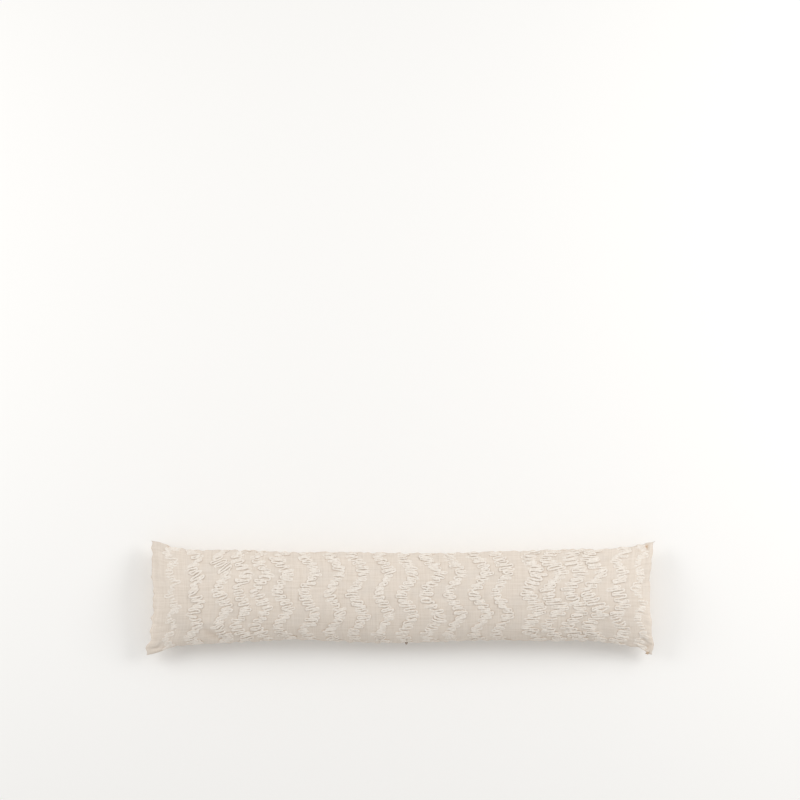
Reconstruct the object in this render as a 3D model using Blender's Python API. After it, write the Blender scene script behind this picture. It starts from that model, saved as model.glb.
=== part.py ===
"""A draught excluder: a long, narrow, soft-filled cushion for the foot of a door.

Two panels of woven cloth are seamed together all round and filled. Yarn loops stand on the front
panel in upright zigzag bands. The cushion lies on its back on z = 0 with its face up, its length
along X and the face's top edge towards +Y. Sizes are in metres.

Places on the cloth are (u, v): u along the length and v across the width, measured on the flat
cloth from its middle. The bands are charted on the cloth, so they foreshorten over the crown.
"""

import math
from collections import namedtuple

import bmesh
import bpy
import numpy as np

# The cloth, seam to seam
CLOTH_LENGTH = 0.900
CLOTH_WIDTH = 0.200
HALF_LENGTH = CLOTH_LENGTH / 2
HALF_WIDTH = CLOTH_WIDTH / 2

# The filled form
CROWN = 0.047  # the face above its seam, at the middle
FOOT_DEPTH = 0.050  # how far the back would bulge below its seam if no floor stopped it
SEAM_HEIGHT = 0.041  # the long seams above the floor
SEAM_THICKNESS = 0.003  # the turned allowances, which keep the two panels' edges apart
END_SEAM_DROP = 0.006  # the end seams hang this much lower than the long ones
EAR_DROP = 0.010  # the empty corners hang lower still
EAR_SHARPNESS = 4  # how close to a corner its droop keeps
SIDE_FULLNESS = 0.65  # power of the rise from a long seam: 0.5 is round, 1 is a sharp lens
EAR_FULLNESS = 1.25  # the same at the ends, where little filling reaches the corners
EAR_REACH = 0.26  # share of the half length over which the corners empty
END_FULLNESS = 0.60
END_SQUARENESS = 10  # how late the crown falls towards the ends
END_REACH = 0.40  # share of the half length over which the ends draw in

# The yarn bands
BAND_WIDTH = 0.019
BAND_HEIGHT = 0.0035
BAND_UNEVENNESS = 0.15  # share of the height that comes and goes along a band
UNEVEN_BY_ROW = 2.4  # radians of that wave from one row of the mesh to the next
UNEVEN_BY_COLUMN = 1.7
TURN_SHARPNESS = 0.93  # 1 makes the zigzag's turns sharp points, and 0 a plain sine
LEAST_COLUMN = 0.0012  # the narrowest column of cloth, where a band runs into an end seam

# The mesh
ROWS = 28
ARC_SAMPLES = 400
WIDE_GAP = 0.020  # plain cloth wider than this gets a line of its own
SEAM_TURN = 0.006  # where the plain cloth at the left end turns down to its seam
CREASE_ANGLE = math.radians(60)

# The outline seen face on: how far the long seams lie from the middle line, along the cloth
Side = namedtuple("Side", "u top bottom")
SIDES = (
    Side(-0.450, 0.1005, -0.1005),
    Side(-0.430, 0.0970, -0.0975),
    Side(-0.410, 0.0905, -0.0892),
    Side(-0.385, 0.0872, -0.0858),
    Side(-0.350, 0.0843, -0.0825),
    Side(-0.310, 0.0856, -0.0803),
    Side(-0.250, 0.0840, -0.0775),
    Side(-0.180, 0.0808, -0.0746),
    Side(-0.110, 0.0820, -0.0778),
    Side(-0.050, 0.0808, -0.0804),
    Side(0.040, 0.0797, -0.0799),
    Side(0.110, 0.0808, -0.0766),
    Side(0.180, 0.0832, -0.0755),
    Side(0.250, 0.0845, -0.0768),
    Side(0.310, 0.0870, -0.0764),
    Side(0.350, 0.0862, -0.0772),
    Side(0.385, 0.0890, -0.0820),
    Side(0.410, 0.0917, -0.0865),
    Side(0.430, 0.0958, -0.0920),
    Side(0.450, 0.1005, -0.1003),
)

# The end seams, from the bottom corner (-1) to the top corner (1)
End = namedtuple("End", "across left right")
ENDS = (
    End(-1.00, -0.4478, 0.4460),
    End(-0.88, -0.4500, 0.4492),
    End(-0.75, -0.4435, 0.4485),
    End(-0.50, -0.4394, 0.4458),
    End(0.00, -0.4360, 0.4430),
    End(0.40, -0.4389, 0.4437),
    End(0.70, -0.4400, 0.4468),
    End(1.00, -0.4397, 0.4500),
)

# Each band: its middle along the cloth, its swing to either side, the cloth from one turn to the
# next, and the place across the cloth of the left-hand turn nearest the middle
Band = namedtuple("Band", "u swing half_repeat left_turn")
BANDS = (
    Band(-0.4130, 0.007, 0.018, 0.040),
    Band(-0.3680, 0.007, 0.020, 0.010),
    Band(-0.3150, 0.010, 0.031, 0.011),
    Band(-0.2790, 0.010, 0.031, 0.010),
    Band(-0.2446, 0.010, 0.032, 0.009),
    Band(-0.2066, 0.010, 0.033, 0.009),
    Band(-0.1595, 0.011, 0.038, 0.007),
    Band(-0.1148, 0.010, 0.039, 0.007),
    Band(-0.0733, 0.011, 0.039, 0.007),
    Band(-0.0283, 0.010, 0.039, 0.008),
    Band(0.0132, 0.010, 0.039, 0.006),
    Band(0.0565, 0.012, 0.040, 0.006),
    Band(0.0966, 0.012, 0.040, 0.006),
    Band(0.1413, 0.012, 0.040, 0.007),
    Band(0.1800, 0.011, 0.039, 0.006),
    Band(0.2340, 0.010, 0.033, 0.007),
    Band(0.2702, 0.012, 0.032, 0.008),
    Band(0.3090, 0.011, 0.032, 0.007),
    Band(0.3440, 0.012, 0.033, 0.007),
    Band(0.3910, 0.008, 0.024, 0.012),
    Band(0.4290, 0.006, 0.022, 0.008),
)

# The lines of the mesh that run along a band: their place as a share of its width, and the share
# of its height that the loops lift them
Profile = namedtuple("Profile", "share lift")
BAND_PROFILE = (
    Profile(-0.50, 0.00),
    Profile(-0.32, 0.80),
    Profile(0.00, 1.00),
    Profile(0.32, 0.80),
    Profile(0.50, 0.00),
)

# A line of the mesh from long seam to long seam. One without a band lies straight at its offset,
# as an end seam does, or, without an offset, midway between its neighbours.
Line = namedtuple("Line", "band offset lift")

CLOTH_COLOUR = "E0D3C3"
CLOTH_ROUGHNESS = 0.95


def clear_scene():
    """Empties the file of whatever it opened with."""
    for obj in list(bpy.data.objects):
        bpy.data.objects.remove(obj)


def linear_colour(hex_code):
    """An sRGB hex colour as the linear RGBA that shaders take."""
    channels = [int(hex_code[i : i + 2], 16) / 255 for i in (0, 2, 4)]
    linear = [c / 12.92 if c <= 0.04045 else ((c + 0.055) / 1.055) ** 2.4 for c in channels]
    return (*linear, 1.0)


def woven_cloth():
    """Undyed woven cotton: matt, with no shine."""
    material = bpy.data.materials.new("woven_cloth")
    material.use_nodes = True
    shader = material.node_tree.nodes["Principled BSDF"]
    shader.inputs["Base Color"].default_value = linear_colour(CLOTH_COLOUR)
    shader.inputs["Roughness"].default_value = CLOTH_ROUGHNESS
    shader.inputs["Metallic"].default_value = 0.0
    return material


def smooth_step(x):
    """Eases from 0 to 1 as x goes from 0 to 1."""
    x = min(max(x, 0.0), 1.0)
    return x * x * (3.0 - 2.0 * x)


def smooth_column(table, column, at):
    """A Catmull-Rom curve through one column of a table, read at a place along its first column."""
    places = [row[0] for row in table]
    values = [getattr(row, column) for row in table]
    last = len(table) - 1
    i = max(0, min(last - 1, int(np.searchsorted(places, at, side="right")) - 1))
    span = places[i + 1] - places[i]
    share = min(max((at - places[i]) / span, 0.0), 1.0)

    def slope(k):
        low, high = max(k - 1, 0), min(k + 1, last)
        return (values[high] - values[low]) / (places[high] - places[low]) * span

    a, b = values[i], values[i + 1]
    cubic = 2.0 * (a - b) + slope(i) + slope(i + 1)
    square = 3.0 * (b - a) - 2.0 * slope(i) - slope(i + 1)
    return a + share * (slope(i) + share * (square + share * cubic))


def arc_over_crown():
    """Two lists: places across the flat cloth, and where the filled form carries them (-1 to 1)."""
    angle = np.linspace(-math.pi / 2, math.pi / 2, ARC_SAMPLES)
    across = np.sin(angle)
    middle_half_width = smooth_column(SIDES, "top", 0.0)
    rise = CROWN * (1.0 - across * across) ** SIDE_FULLNESS
    steps = np.hypot(np.diff(across) * middle_half_width, np.diff(rise))
    length = np.concatenate([[0.0], np.cumsum(steps)])
    return (length / length[-1] - 0.5) * CLOTH_WIDTH, across


ARC_V, ARC_ACROSS = arc_over_crown()


def across_of(v):
    """Where a place across the flat cloth lies between the two long seams, seen from above."""
    return float(np.interp(v, ARC_V, ARC_ACROSS))


def plan_point(u, across):
    """The place of a point of either panel, seen from above."""
    along = u / HALF_LENGTH
    left_pull = smooth_step((-along - 1.0 + END_REACH) / END_REACH)
    right_pull = smooth_step((along - 1.0 + END_REACH) / END_REACH)
    left_move = smooth_column(ENDS, "left", across) + HALF_LENGTH
    right_move = smooth_column(ENDS, "right", across) - HALF_LENGTH
    top = smooth_column(SIDES, "top", u)
    bottom = smooth_column(SIDES, "bottom", u)
    x = u + left_pull * left_move + right_pull * right_move
    return x, (top + bottom) / 2 + across * (top - bottom) / 2


def seam_height(along, across):
    """The height of the surface that all four seams lie on."""
    near_end = abs(along) ** END_SQUARENESS
    return SEAM_HEIGHT - near_end * (END_SEAM_DROP + EAR_DROP * across**EAR_SHARPNESS)


def filled_share(along, across):
    """How full the cushion is at a place, from 0 at the seams to 1 along the crown."""
    emptier = smooth_step((abs(along) - 1.0 + EAR_REACH) / EAR_REACH)
    power = SIDE_FULLNESS + (EAR_FULLNESS - SIDE_FULLNESS) * emptier
    towards_sides = max(1.0 - across * across, 0.0) ** power
    towards_ends = max(1.0 - abs(along) ** END_SQUARENESS, 0.0) ** END_FULLNESS
    return towards_sides * towards_ends


def face_point(u, v):
    """A point of the front panel, before the loops lift it."""
    along, across = u / HALF_LENGTH, across_of(v)
    rise = CROWN * filled_share(along, across)
    return (*plan_point(u, across), seam_height(along, across) + SEAM_THICKNESS / 2 + rise)


def back_point(u, v):
    """A point of the back panel, pressed flat where the floor stops it."""
    along, across = u / HALF_LENGTH, across_of(v)
    fall = FOOT_DEPTH * filled_share(along, across)
    height = seam_height(along, across) - SEAM_THICKNESS / 2 - fall
    return (*plan_point(u, across), max(height, 0.0))


def zigzag(band, v):
    """How far a band swings to the side at a place across the cloth: a zigzag with eased turns."""
    phase = math.pi * (v - band.left_turn) / band.half_repeat
    wave = math.asin(TURN_SHARPNESS * math.cos(phase)) / math.asin(TURN_SHARPNESS)
    return -band.swing * wave


def column_lines():
    """The lines of the mesh that cross the cloth, in order from the left end."""
    edge = -HALF_LENGTH + SEAM_TURN
    lines = [Line(None, -HALF_LENGTH, 0.0), Line(None, edge, 0.0)]
    for band in BANDS:
        if band.u - BAND_WIDTH / 2 - edge > WIDE_GAP:
            lines.append(Line(None, None, 0.0))
        for place in BAND_PROFILE:
            lines.append(Line(band, place.share * BAND_WIDTH, place.lift))
        edge = band.u + BAND_WIDTH / 2
    lines.append(Line(None, HALF_LENGTH, 0.0))
    return lines


def line_place(lines, index, v):
    """Where a line lies along the cloth, kept inside the end seams and in order."""
    line = lines[index]
    if line.offset is None:
        return (line_place(lines, index - 1, v) + line_place(lines, index + 1, v)) / 2
    if line.band is None:
        return line.offset
    wanted = line.band.u + zigzag(line.band, v) + line.offset
    lowest = -HALF_LENGTH + index * LEAST_COLUMN
    highest = HALF_LENGTH - (len(lines) - 1 - index) * LEAST_COLUMN
    return min(max(wanted, lowest), highest)


def panel(bm, lines, point, u_of):
    """One panel: a grid with a column line for each line and ROWS rows, placed by point(u, v)."""
    columns = len(lines) - 1
    made = bmesh.ops.create_grid(bm, x_segments=columns, y_segments=ROWS, size=1.0)
    grid = {}
    for vert in made["verts"]:
        column = round((vert.co.x + 1.0) / 2 * columns)
        row = round((vert.co.y + 1.0) / 2 * ROWS)
        grid[column, row] = vert
    for (column, row), vert in grid.items():
        v = row / ROWS * CLOTH_WIDTH - HALF_WIDTH
        vert.co = point(u_of(column, v), v)
    return grid


def thin_rows(bm, grid, columns):
    """Takes every second row out of the plain back panel, which needs fewer faces than the front."""
    spare = []
    for row in range(1, ROWS, 2):
        for column in range(columns):
            spare.append(bm.edges.get((grid[column, row], grid[column + 1, row])))
    bmesh.ops.dissolve_edges(bm, edges=spare, use_verts=True)


def lift_loops(cushion, weights):
    """Raises the yarn bands along the cloth's normals."""
    group = cushion.vertex_groups.new(name="yarn_bands")
    for index, weight in weights.items():
        group.add([index], weight, "REPLACE")
    lift = cushion.modifiers.new("yarn_bands", "DISPLACE")
    lift.vertex_group = group.name
    lift.direction = "NORMAL"
    lift.strength = BAND_HEIGHT
    lift.mid_level = 0.0


def band_weights(front, lines):
    """Each front point's share of the band height. The seams themselves aren't lifted."""
    weights = {}
    for (column, row), vert in front.items():
        lift = lines[column].lift
        if lift and 0 < row < ROWS:
            wave = math.sin(UNEVEN_BY_ROW * row + UNEVEN_BY_COLUMN * column)
            weights[vert] = lift * (1.0 - BAND_UNEVENNESS * (1.0 + wave) / 2)
    return weights


def filled_cushion(material):
    """The whole cushion as one filled solid: both panels, joined by the thin edge of the seams."""
    lines = column_lines()
    columns = len(lines) - 1

    def front_u(column, v):
        return line_place(lines, column, v)

    def back_u(column, v):
        # A back column runs straight between the two ends of its front column.
        share = (v + HALF_WIDTH) / CLOTH_WIDTH
        low = line_place(lines, column, -HALF_WIDTH)
        high = line_place(lines, column, HALF_WIDTH)
        return low + (high - low) * share

    bm = bmesh.new()
    front = panel(bm, lines, face_point, front_u)
    back = panel(bm, lines, back_point, back_u)
    lifted = band_weights(front, lines)
    edges = [edge for edge in bm.edges if edge.is_boundary]
    bmesh.ops.bridge_loops(bm, edges=edges)
    thin_rows(bm, back, columns)
    bmesh.ops.recalc_face_normals(bm, faces=bm.faces)
    bm.verts.index_update()
    weights = {vert.index: weight for vert, weight in lifted.items()}

    mesh = bpy.data.meshes.new("filled_cushion")
    bm.to_mesh(mesh)
    bm.free()
    mesh.shade_smooth()
    mesh.set_sharp_from_angle(angle=CREASE_ANGLE)
    mesh.materials.append(material)
    cushion = bpy.data.objects.new("filled_cushion", mesh)
    lift_loops(cushion, weights)
    return cushion


def main():
    clear_scene()
    collection = bpy.data.collections.new("draught_excluder")
    bpy.context.scene.collection.children.link(collection)
    collection.objects.link(filled_cushion(woven_cloth()))


main()
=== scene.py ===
"""Dresses the draught excluder: its filled cover, its bands of looped yarn and a plain stage.

Places on the cloth are (u, v): u along the length and v across the width, measured on the flat
cloth from its middle. The cover is filled by a cloth simulation whose seams are held in their own
outline. The yarn is laid on the filled face afterwards, so each loop follows the face's own shape.
"""

import math
from collections import namedtuple

import bpy
import numpy as np
from bpy.props import FloatProperty, FloatVectorProperty, IntProperty, PointerProperty
from bpy.types import Operator, Panel, PropertyGroup
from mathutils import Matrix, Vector


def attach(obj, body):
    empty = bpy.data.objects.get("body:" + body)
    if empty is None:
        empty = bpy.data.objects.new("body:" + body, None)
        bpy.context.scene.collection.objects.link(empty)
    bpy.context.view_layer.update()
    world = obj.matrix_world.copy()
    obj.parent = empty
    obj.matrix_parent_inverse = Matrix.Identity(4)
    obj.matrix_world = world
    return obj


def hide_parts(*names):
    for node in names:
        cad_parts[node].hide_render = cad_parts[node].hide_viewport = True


bl_info = {
    "name": "Draught Excluder",
    "version": (1, 0, 0),
    "blender": (4, 5, 0),
    "location": "View3D > Sidebar > Draught Excluder",
    "description": "Makes a long filled cushion with zigzag bands of looped yarn",
    "category": "Object",
}

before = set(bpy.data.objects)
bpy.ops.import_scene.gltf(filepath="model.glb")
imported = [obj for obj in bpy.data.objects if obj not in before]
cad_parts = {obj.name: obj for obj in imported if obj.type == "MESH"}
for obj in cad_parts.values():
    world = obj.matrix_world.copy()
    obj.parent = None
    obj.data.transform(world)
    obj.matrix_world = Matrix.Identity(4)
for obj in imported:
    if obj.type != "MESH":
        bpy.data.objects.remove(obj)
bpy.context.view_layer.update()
NODE = "filled_cushion"
MM = 0.001

# The outline seen face on: how far the long seams lie from the middle line, along the cloth
Side = namedtuple("Side", "u top bottom")
SIDES = (
    Side(-0.450, 0.1005, -0.1005),
    Side(-0.440, 0.1001, -0.1004),
    Side(-0.430, 0.0970, -0.0975),
    Side(-0.410, 0.0905, -0.0892),
    Side(-0.385, 0.0872, -0.0858),
    Side(-0.350, 0.0843, -0.0825),
    Side(-0.310, 0.0856, -0.0803),
    Side(-0.250, 0.0840, -0.0775),
    Side(-0.180, 0.0808, -0.0746),
    Side(-0.110, 0.0820, -0.0778),
    Side(-0.050, 0.0808, -0.0804),
    Side(0.040, 0.0797, -0.0799),
    Side(0.110, 0.0808, -0.0766),
    Side(0.180, 0.0832, -0.0755),
    Side(0.250, 0.0845, -0.0768),
    Side(0.310, 0.0870, -0.0764),
    Side(0.350, 0.0862, -0.0772),
    Side(0.385, 0.0890, -0.0820),
    Side(0.410, 0.0917, -0.0865),
    Side(0.430, 0.0958, -0.0908),
    Side(0.440, 0.0988, -0.0978),
    Side(0.450, 0.1005, -0.1003),
)

# The end seams, from the bottom corner (-1) to the top corner (1)
End = namedtuple("End", "across left right")
ENDS = (
    End(-1.00, -0.4478, 0.4460),
    End(-0.88, -0.4500, 0.4492),
    End(-0.75, -0.4435, 0.4485),
    End(-0.50, -0.4394, 0.4458),
    End(0.00, -0.4360, 0.4430),
    End(0.40, -0.4389, 0.4437),
    End(0.70, -0.4400, 0.4468),
    End(1.00, -0.4397, 0.4500),
)

# Each band: its middle along the cloth, its swing to either side, the cloth from one turn to the
# next, the place across the cloth of the left-hand turn nearest the middle, the length of its
# strands, and how far they rise to the right
Band = namedtuple("Band", "u swing half_repeat left_turn strand tilt")
BANDS = (
    Band(-0.4130, 0.007, 0.018, 0.040, 0.0185, 0.10),
    Band(-0.3680, 0.007, 0.020, 0.010, 0.0210, 0.45),
    Band(-0.3150, 0.010, 0.031, 0.011, 0.0210, 0.35),
    Band(-0.2790, 0.010, 0.031, 0.010, 0.0200, 0.25),
    Band(-0.2446, 0.010, 0.032, 0.009, 0.0205, 0.12),
    Band(-0.2066, 0.010, 0.033, 0.009, 0.0200, 0.10),
    Band(-0.1595, 0.011, 0.038, 0.007, 0.0200, 0.08),
    Band(-0.1148, 0.010, 0.039, 0.007, 0.0185, 0.22),
    Band(-0.0733, 0.011, 0.039, 0.007, 0.0195, 0.15),
    Band(-0.0283, 0.010, 0.039, 0.008, 0.0180, 0.22),
    Band(0.0132, 0.010, 0.039, 0.006, 0.0200, 0.10),
    Band(0.0565, 0.012, 0.040, 0.006, 0.0210, 0.00),
    Band(0.0966, 0.012, 0.040, 0.006, 0.0200, 0.05),
    Band(0.1413, 0.012, 0.040, 0.007, 0.0205, 0.18),
    Band(0.1800, 0.011, 0.039, 0.006, 0.0195, 0.18),
    Band(0.2340, 0.010, 0.033, 0.007, 0.0245, 0.02),
    Band(0.2702, 0.012, 0.032, 0.008, 0.0250, 0.10),
    Band(0.3090, 0.011, 0.032, 0.007, 0.0255, 0.02),
    Band(0.3440, 0.012, 0.033, 0.007, 0.0255, 0.08),
    Band(0.3910, 0.008, 0.024, 0.012, 0.0220, 0.02),
    Band(0.4290, 0.006, 0.022, 0.008, 0.0195, 0.10),
)

# Soft creases pressed into the face: a trough from one place on the cloth to another
Crease = namedtuple("Crease", "u0 v0 u1 v1 width depth")
CREASES = (
    Crease(-0.444, -0.086, -0.422, -0.081, 0.0045, 0.0012),
    Crease(-0.436, -0.094, -0.418, -0.072, 0.0045, 0.0010),
    Crease(0.4365, 0.090, 0.4350, 0.076, 0.0028, 0.0042),
    Crease(0.436, 0.070, 0.418, 0.092, 0.0050, 0.0020),
    Crease(0.430, -0.096, 0.444, -0.076, 0.0040, 0.0026),
    Crease(0.416, -0.090, 0.433, -0.070, 0.0050, 0.0022),
    Crease(-0.440, 0.090, -0.420, 0.074, 0.0055, 0.0020),
    Crease(0.0115, -0.099, 0.0110, -0.082, 0.0030, 0.0028),
    Crease(-0.350, -0.060, -0.307, -0.087, 0.0070, 0.0035),
)

# Where the gathered left end seam stands out a little, as low scallops
Scallop = namedtuple("Scallop", "v reach width")
SCALLOPS = (
    Scallop(0.0300, 0.0033, 0.0034),
    Scallop(0.0088, 0.0026, 0.0030),
    Scallop(-0.0010, 0.0022, 0.0028),
    Scallop(-0.0124, 0.0022, 0.0034),
    Scallop(-0.0292, 0.0044, 0.0034),
    Scallop(-0.0490, 0.0027, 0.0044),
)


def linear(hex_code):
    """An sRGB hex colour as linear RGB."""
    channels = [int(hex_code[i : i + 2], 16) / 255 for i in (0, 2, 4)]
    return [c / 12.92 if c <= 0.04045 else ((c + 0.055) / 1.055) ** 2.4 for c in channels]


def length_property(name, description, default):
    """A setting that is a length in metres."""
    return FloatProperty(name=name, description=description, default=default, unit="LENGTH", precision=5)


def colour_property(name, description, hex_code):
    """A setting that is a colour, given by its sRGB hex code."""
    return FloatVectorProperty(
        name=name, description=description, default=linear(hex_code), subtype="COLOR", size=3
    )


class CushionSettings(PropertyGroup):
    """Sizes and colours of the filled cover."""

    length: length_property("Length", "The cloth from end seam to end seam", 0.900)
    width: length_property("Width", "The cloth from long seam to long seam", 0.200)
    crown: length_property("Crown", "How far the face rises above its seam", 0.046)
    back: length_property("Back", "How far the back would bulge if no floor stopped it", 0.049)
    seam_height: length_property("Seam height", "The long seams above the floor", 0.0425)
    seam_half: length_property("Seam half", "Half the thickness of the turned seam", 0.0022)
    corner: length_property("Corner", "How far the turned corners are drawn out each way", 0.0030)
    waver: length_property("Waver", "How far the seams stray from their line", 0.0010)
    thread: length_property("Thread", "From one thread of the weave to the next", 0.0016)
    cell: length_property("Mesh cell", "The cover's mesh before it is subdivided", 0.005)
    slack: FloatProperty(name="Slack", description="Extra cloth", default=0.010, subtype="FACTOR")
    pressure: FloatProperty(name="Pressure", description="The filling's push", default=5.0)
    frames: IntProperty(name="Frames", description="Steps of the simulation", default=20)
    cap: length_property("Cap", "How far the simulation may move a point", 0.006)
    cloth: colour_property("Cloth", "Undyed cotton", "E9DED2")
    # partly painted shade: the cloth's colour where the weave lies low between threads; thin slubs also
    # pull towards it as the cloth's own tone
    cloth_shade: colour_property("Cloth shade", "The same between its threads", "C7B8A7")
    cloth_cool: colour_property("Cloth cool", "The same where it has greyed", "D3CDC6")
    # painted shade: the cloth's colour deep in sharp creases and along the seams
    cloth_crease_shade: colour_property("Cloth crease", "The same deep in a crease", "C8A582")


class YarnSettings(PropertyGroup):
    """Sizes and colours of the looped yarn."""

    thickness: length_property("Thickness", "The yarn across", 0.0042)
    flatness: FloatProperty(name="Flatness", description="The yarn's height to its width", default=0.40)
    bedding: FloatProperty(name="Bedding", description="Share of its height above the cloth", default=0.75)
    pitch: length_property("Pitch", "From one strand of a band to the next", 0.0040)
    arch: length_property("Arch", "How far the middle of a strand stands off the cloth", 0.0002)
    loop_lift: length_property("Loop lift", "The most that a turn stands off the cloth", 0.0006)
    loop_dive: length_property("Loop dive", "The most that a turn dives into the cloth", 0.0012)
    waist: FloatProperty(name="Waist", description="The yarn's thickness in its turns", default=0.88)
    unevenness: FloatProperty(name="Unevenness", description="From neat to ragged", default=0.13)
    knobs: FloatProperty(name="Knobs", description="How lumpy the yarn is spun", default=0.22)
    ply_turn: length_property("Ply turn", "One full turn of the two plies", 0.0064)
    ply_depth: FloatProperty(name="Ply depth", description="How far the plies part", default=0.20)
    sides: IntProperty(name="Sides", description="Points round the yarn", default=10, min=6)
    step: length_property("Step", "From one ring of the yarn's mesh to the next", 0.0010)
    seed: IntProperty(name="Seed", description="Which unevenness the loops get", default=11)
    yarn: colour_property("Yarn", "Bleached soft cotton", "F1EAE1")
    yarn_shade: colour_property("Yarn shade", "The same where it is less bleached", "E1D6CA")
    # painted shade: the yarn's colour on its sides and underside, where it lies between strands
    yarn_gap_shade: colour_property("Yarn gap", "The same between its strands", "C9B197")


class ThreadSettings(PropertyGroup):
    """Sizes and colour of the thread that closes the bottom seam."""

    thickness: length_property("Thickness", "The thread across", 0.0013)
    flatness: FloatProperty(name="Flatness", description="Its height to its width", default=0.9)
    place: length_property("Place", "The knot's place along the seam from the middle", 0.0113)
    knot: length_property("Knot", "The knot across", 0.0054)
    knobs: FloatProperty(name="Knobs", description="How lumpy the thread is spun", default=0.0)
    ply_turn: length_property("Ply turn", "One full turn of the two plies", 0.0030)
    ply_depth: FloatProperty(name="Ply depth", description="How far the plies part", default=0.3)
    sides: IntProperty(name="Sides", description="Points round the thread", default=8, min=6)
    step: length_property("Step", "From one ring of the thread's mesh to the next", 0.0004)
    thread: colour_property("Thread", "Waxed taupe sewing thread", "A88A70")


class StageSettings(PropertyGroup):
    """The floor, the lights and the picture."""

    picture: length_property("Picture", "What the picture takes in from side to side", 1.4128)
    above_middle: length_property("Above middle", "The picture's middle above the cushion's", 0.3493)
    lens: FloatProperty(name="Lens", description="A long lens, in millimetres", default=500.0)
    floor: colour_property("Floor", "A plain pale floor", "FAF9F7")
    daylight: FloatProperty(name="Daylight", description="Light from all round", default=0.63)
    left: FloatProperty(name="Left", description="Watts of the lamp past the left end", default=15.5)
    right: FloatProperty(name="Right", description="Watts of the lamp past the right end", default=21.0)


def smooth_step(x):
    """Eases from 0 to 1 as x goes from 0 to 1."""
    x = np.clip(x, 0.0, 1.0)
    return x * x * (3.0 - 2.0 * x)


def smooth_column(table, column, at):
    """A Catmull-Rom curve through one column of a table, read at places along its first column."""
    places = np.array([row[0] for row in table])
    values = np.array([getattr(row, column) for row in table])
    last = len(table) - 1
    low = np.maximum(np.arange(last + 1) - 1, 0)
    high = np.minimum(np.arange(last + 1) + 1, last)
    slopes = (values[high] - values[low]) / (places[high] - places[low])
    i = np.clip(np.searchsorted(places, at, side="right") - 1, 0, last - 1)
    span = places[i + 1] - places[i]
    share = np.clip((at - places[i]) / span, 0.0, 1.0)
    a, b = values[i], values[i + 1]
    slope_a, slope_b = slopes[i] * span, slopes[i + 1] * span
    square = 3.0 * (b - a) - 2.0 * slope_a - slope_b
    cubic = 2.0 * (a - b) + slope_a + slope_b
    return a + share * (slope_a + share * (square + share * cubic))


SIDE_FULLNESS = 0.65  # power of the rise from a long seam: 0.5 is round, 1 is a sharp lens
EAR_FULLNESS = 1.25  # the same power at the ears, which hold less filling
EAR_REACH = 0.26  # share of the half length over which the filling thins out into the ears
EAR_DROP = 0.010  # how far the corners hang below the end seam's middle
EAR_SHARPNESS = 4  # how close to the corners they start to hang
END_SEAM_DROP = 0.006  # how far the end seams' middles lie below the long seams
END_FULLNESS = 0.60  # power of the rise from an end seam
END_SQUARENESS = 10  # how close to the ends the crown starts to fall
END_REACH = 0.40  # share of the half length over which the ends' own outline fades out
SEAM_ROUND = 0.006  # cloth over which a panel turns round into its seam
CORNER_ROUND = 0.003  # cloth over which a corner is drawn out
ARC_SAMPLES = 400  # points by which the cloth's length over the crown is measured


def across_of(s, v):
    """Where places across the flat cloth lie between the long seams, from -1 to 1, seen face on."""
    across = np.sin(np.linspace(-math.pi / 2, math.pi / 2, ARC_SAMPLES))
    half_width = smooth_column(SIDES, "top", 0.0)
    rise = s.crown * (1.0 - across * across) ** SIDE_FULLNESS
    steps = np.hypot(np.diff(across) * half_width, np.diff(rise))
    length = np.concatenate([[0.0], np.cumsum(steps)])
    return np.interp(v, (length / length[-1] - 0.5) * s.width, across)


def filled_point(s, u, v, side):
    """Points of the filled cover before it settles. Side is 1 on the face and -1 on the back."""
    along, across = u / (s.length / 2), across_of(s, v)
    left_pull = smooth_step((-along - 1.0 + END_REACH) / END_REACH)
    right_pull = smooth_step((along - 1.0 + END_REACH) / END_REACH)
    left_move = smooth_column(ENDS, "left", across) + s.length / 2
    right_move = smooth_column(ENDS, "right", across) - s.length / 2
    top = smooth_column(SIDES, "top", u)
    bottom = smooth_column(SIDES, "bottom", u)
    x = u + left_pull * left_move + right_pull * right_move
    y = (top + bottom) / 2 + across * (top - bottom) / 2
    emptier = smooth_step((abs(along) - 1.0 + EAR_REACH) / EAR_REACH)
    power = SIDE_FULLNESS + (EAR_FULLNESS - SIDE_FULLNESS) * emptier
    full = np.maximum(1.0 - across**2, 0.0) ** power
    full = full * np.maximum(1.0 - abs(along) ** END_SQUARENESS, 0.0) ** END_FULLNESS
    to_rim = np.minimum(s.length / 2 - abs(u), s.width / 2 - abs(v))
    turned = s.seam_half * np.sqrt(np.clip(to_rim / SEAM_ROUND, 0.0, 1.0))
    near_end = abs(along) ** END_SQUARENESS
    seam = s.seam_height - near_end * (END_SEAM_DROP + EAR_DROP * abs(across) ** EAR_SHARPNESS)
    z = seam + side * turned + np.where(side > 0, s.crown, -s.back) * full
    to_corner = (s.length / 2 - abs(u)) ** 2 + (s.width / 2 - abs(v)) ** 2
    drawn = s.corner * np.exp(-to_corner / (2.0 * CORNER_ROUND**2))
    x, y = x + np.sign(u) * drawn, y + np.sign(v) * drawn
    return np.stack([x, y, np.maximum(z, 0.0)], axis=1)


def coordinates(mesh):
    """A mesh's points as an array with a row for each."""
    flat = np.zeros(len(mesh.vertices) * 3, np.float32)
    mesh.vertices.foreach_get("co", flat)
    return flat.reshape(-1, 3).astype(float)


def place_points(mesh, points):
    """Puts a mesh's points where an array says."""
    mesh.vertices.foreach_set("co", np.asarray(points, np.float32).ravel())
    mesh.update()


def select_only(*objects):
    """Selects these objects alone and makes the first one active."""
    bpy.ops.object.select_all(action="DESELECT")
    for obj in objects:
        obj.select_set(True)
    bpy.context.view_layer.objects.active = objects[0]


def set_inputs(node, inputs):
    """Sets or links a node's inputs, by name or number."""
    for name, value in inputs.items():
        if isinstance(value, bpy.types.NodeSocket):
            node.id_data.links.new(value, node.inputs[name])
        else:
            node.inputs[name].default_value = value


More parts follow.
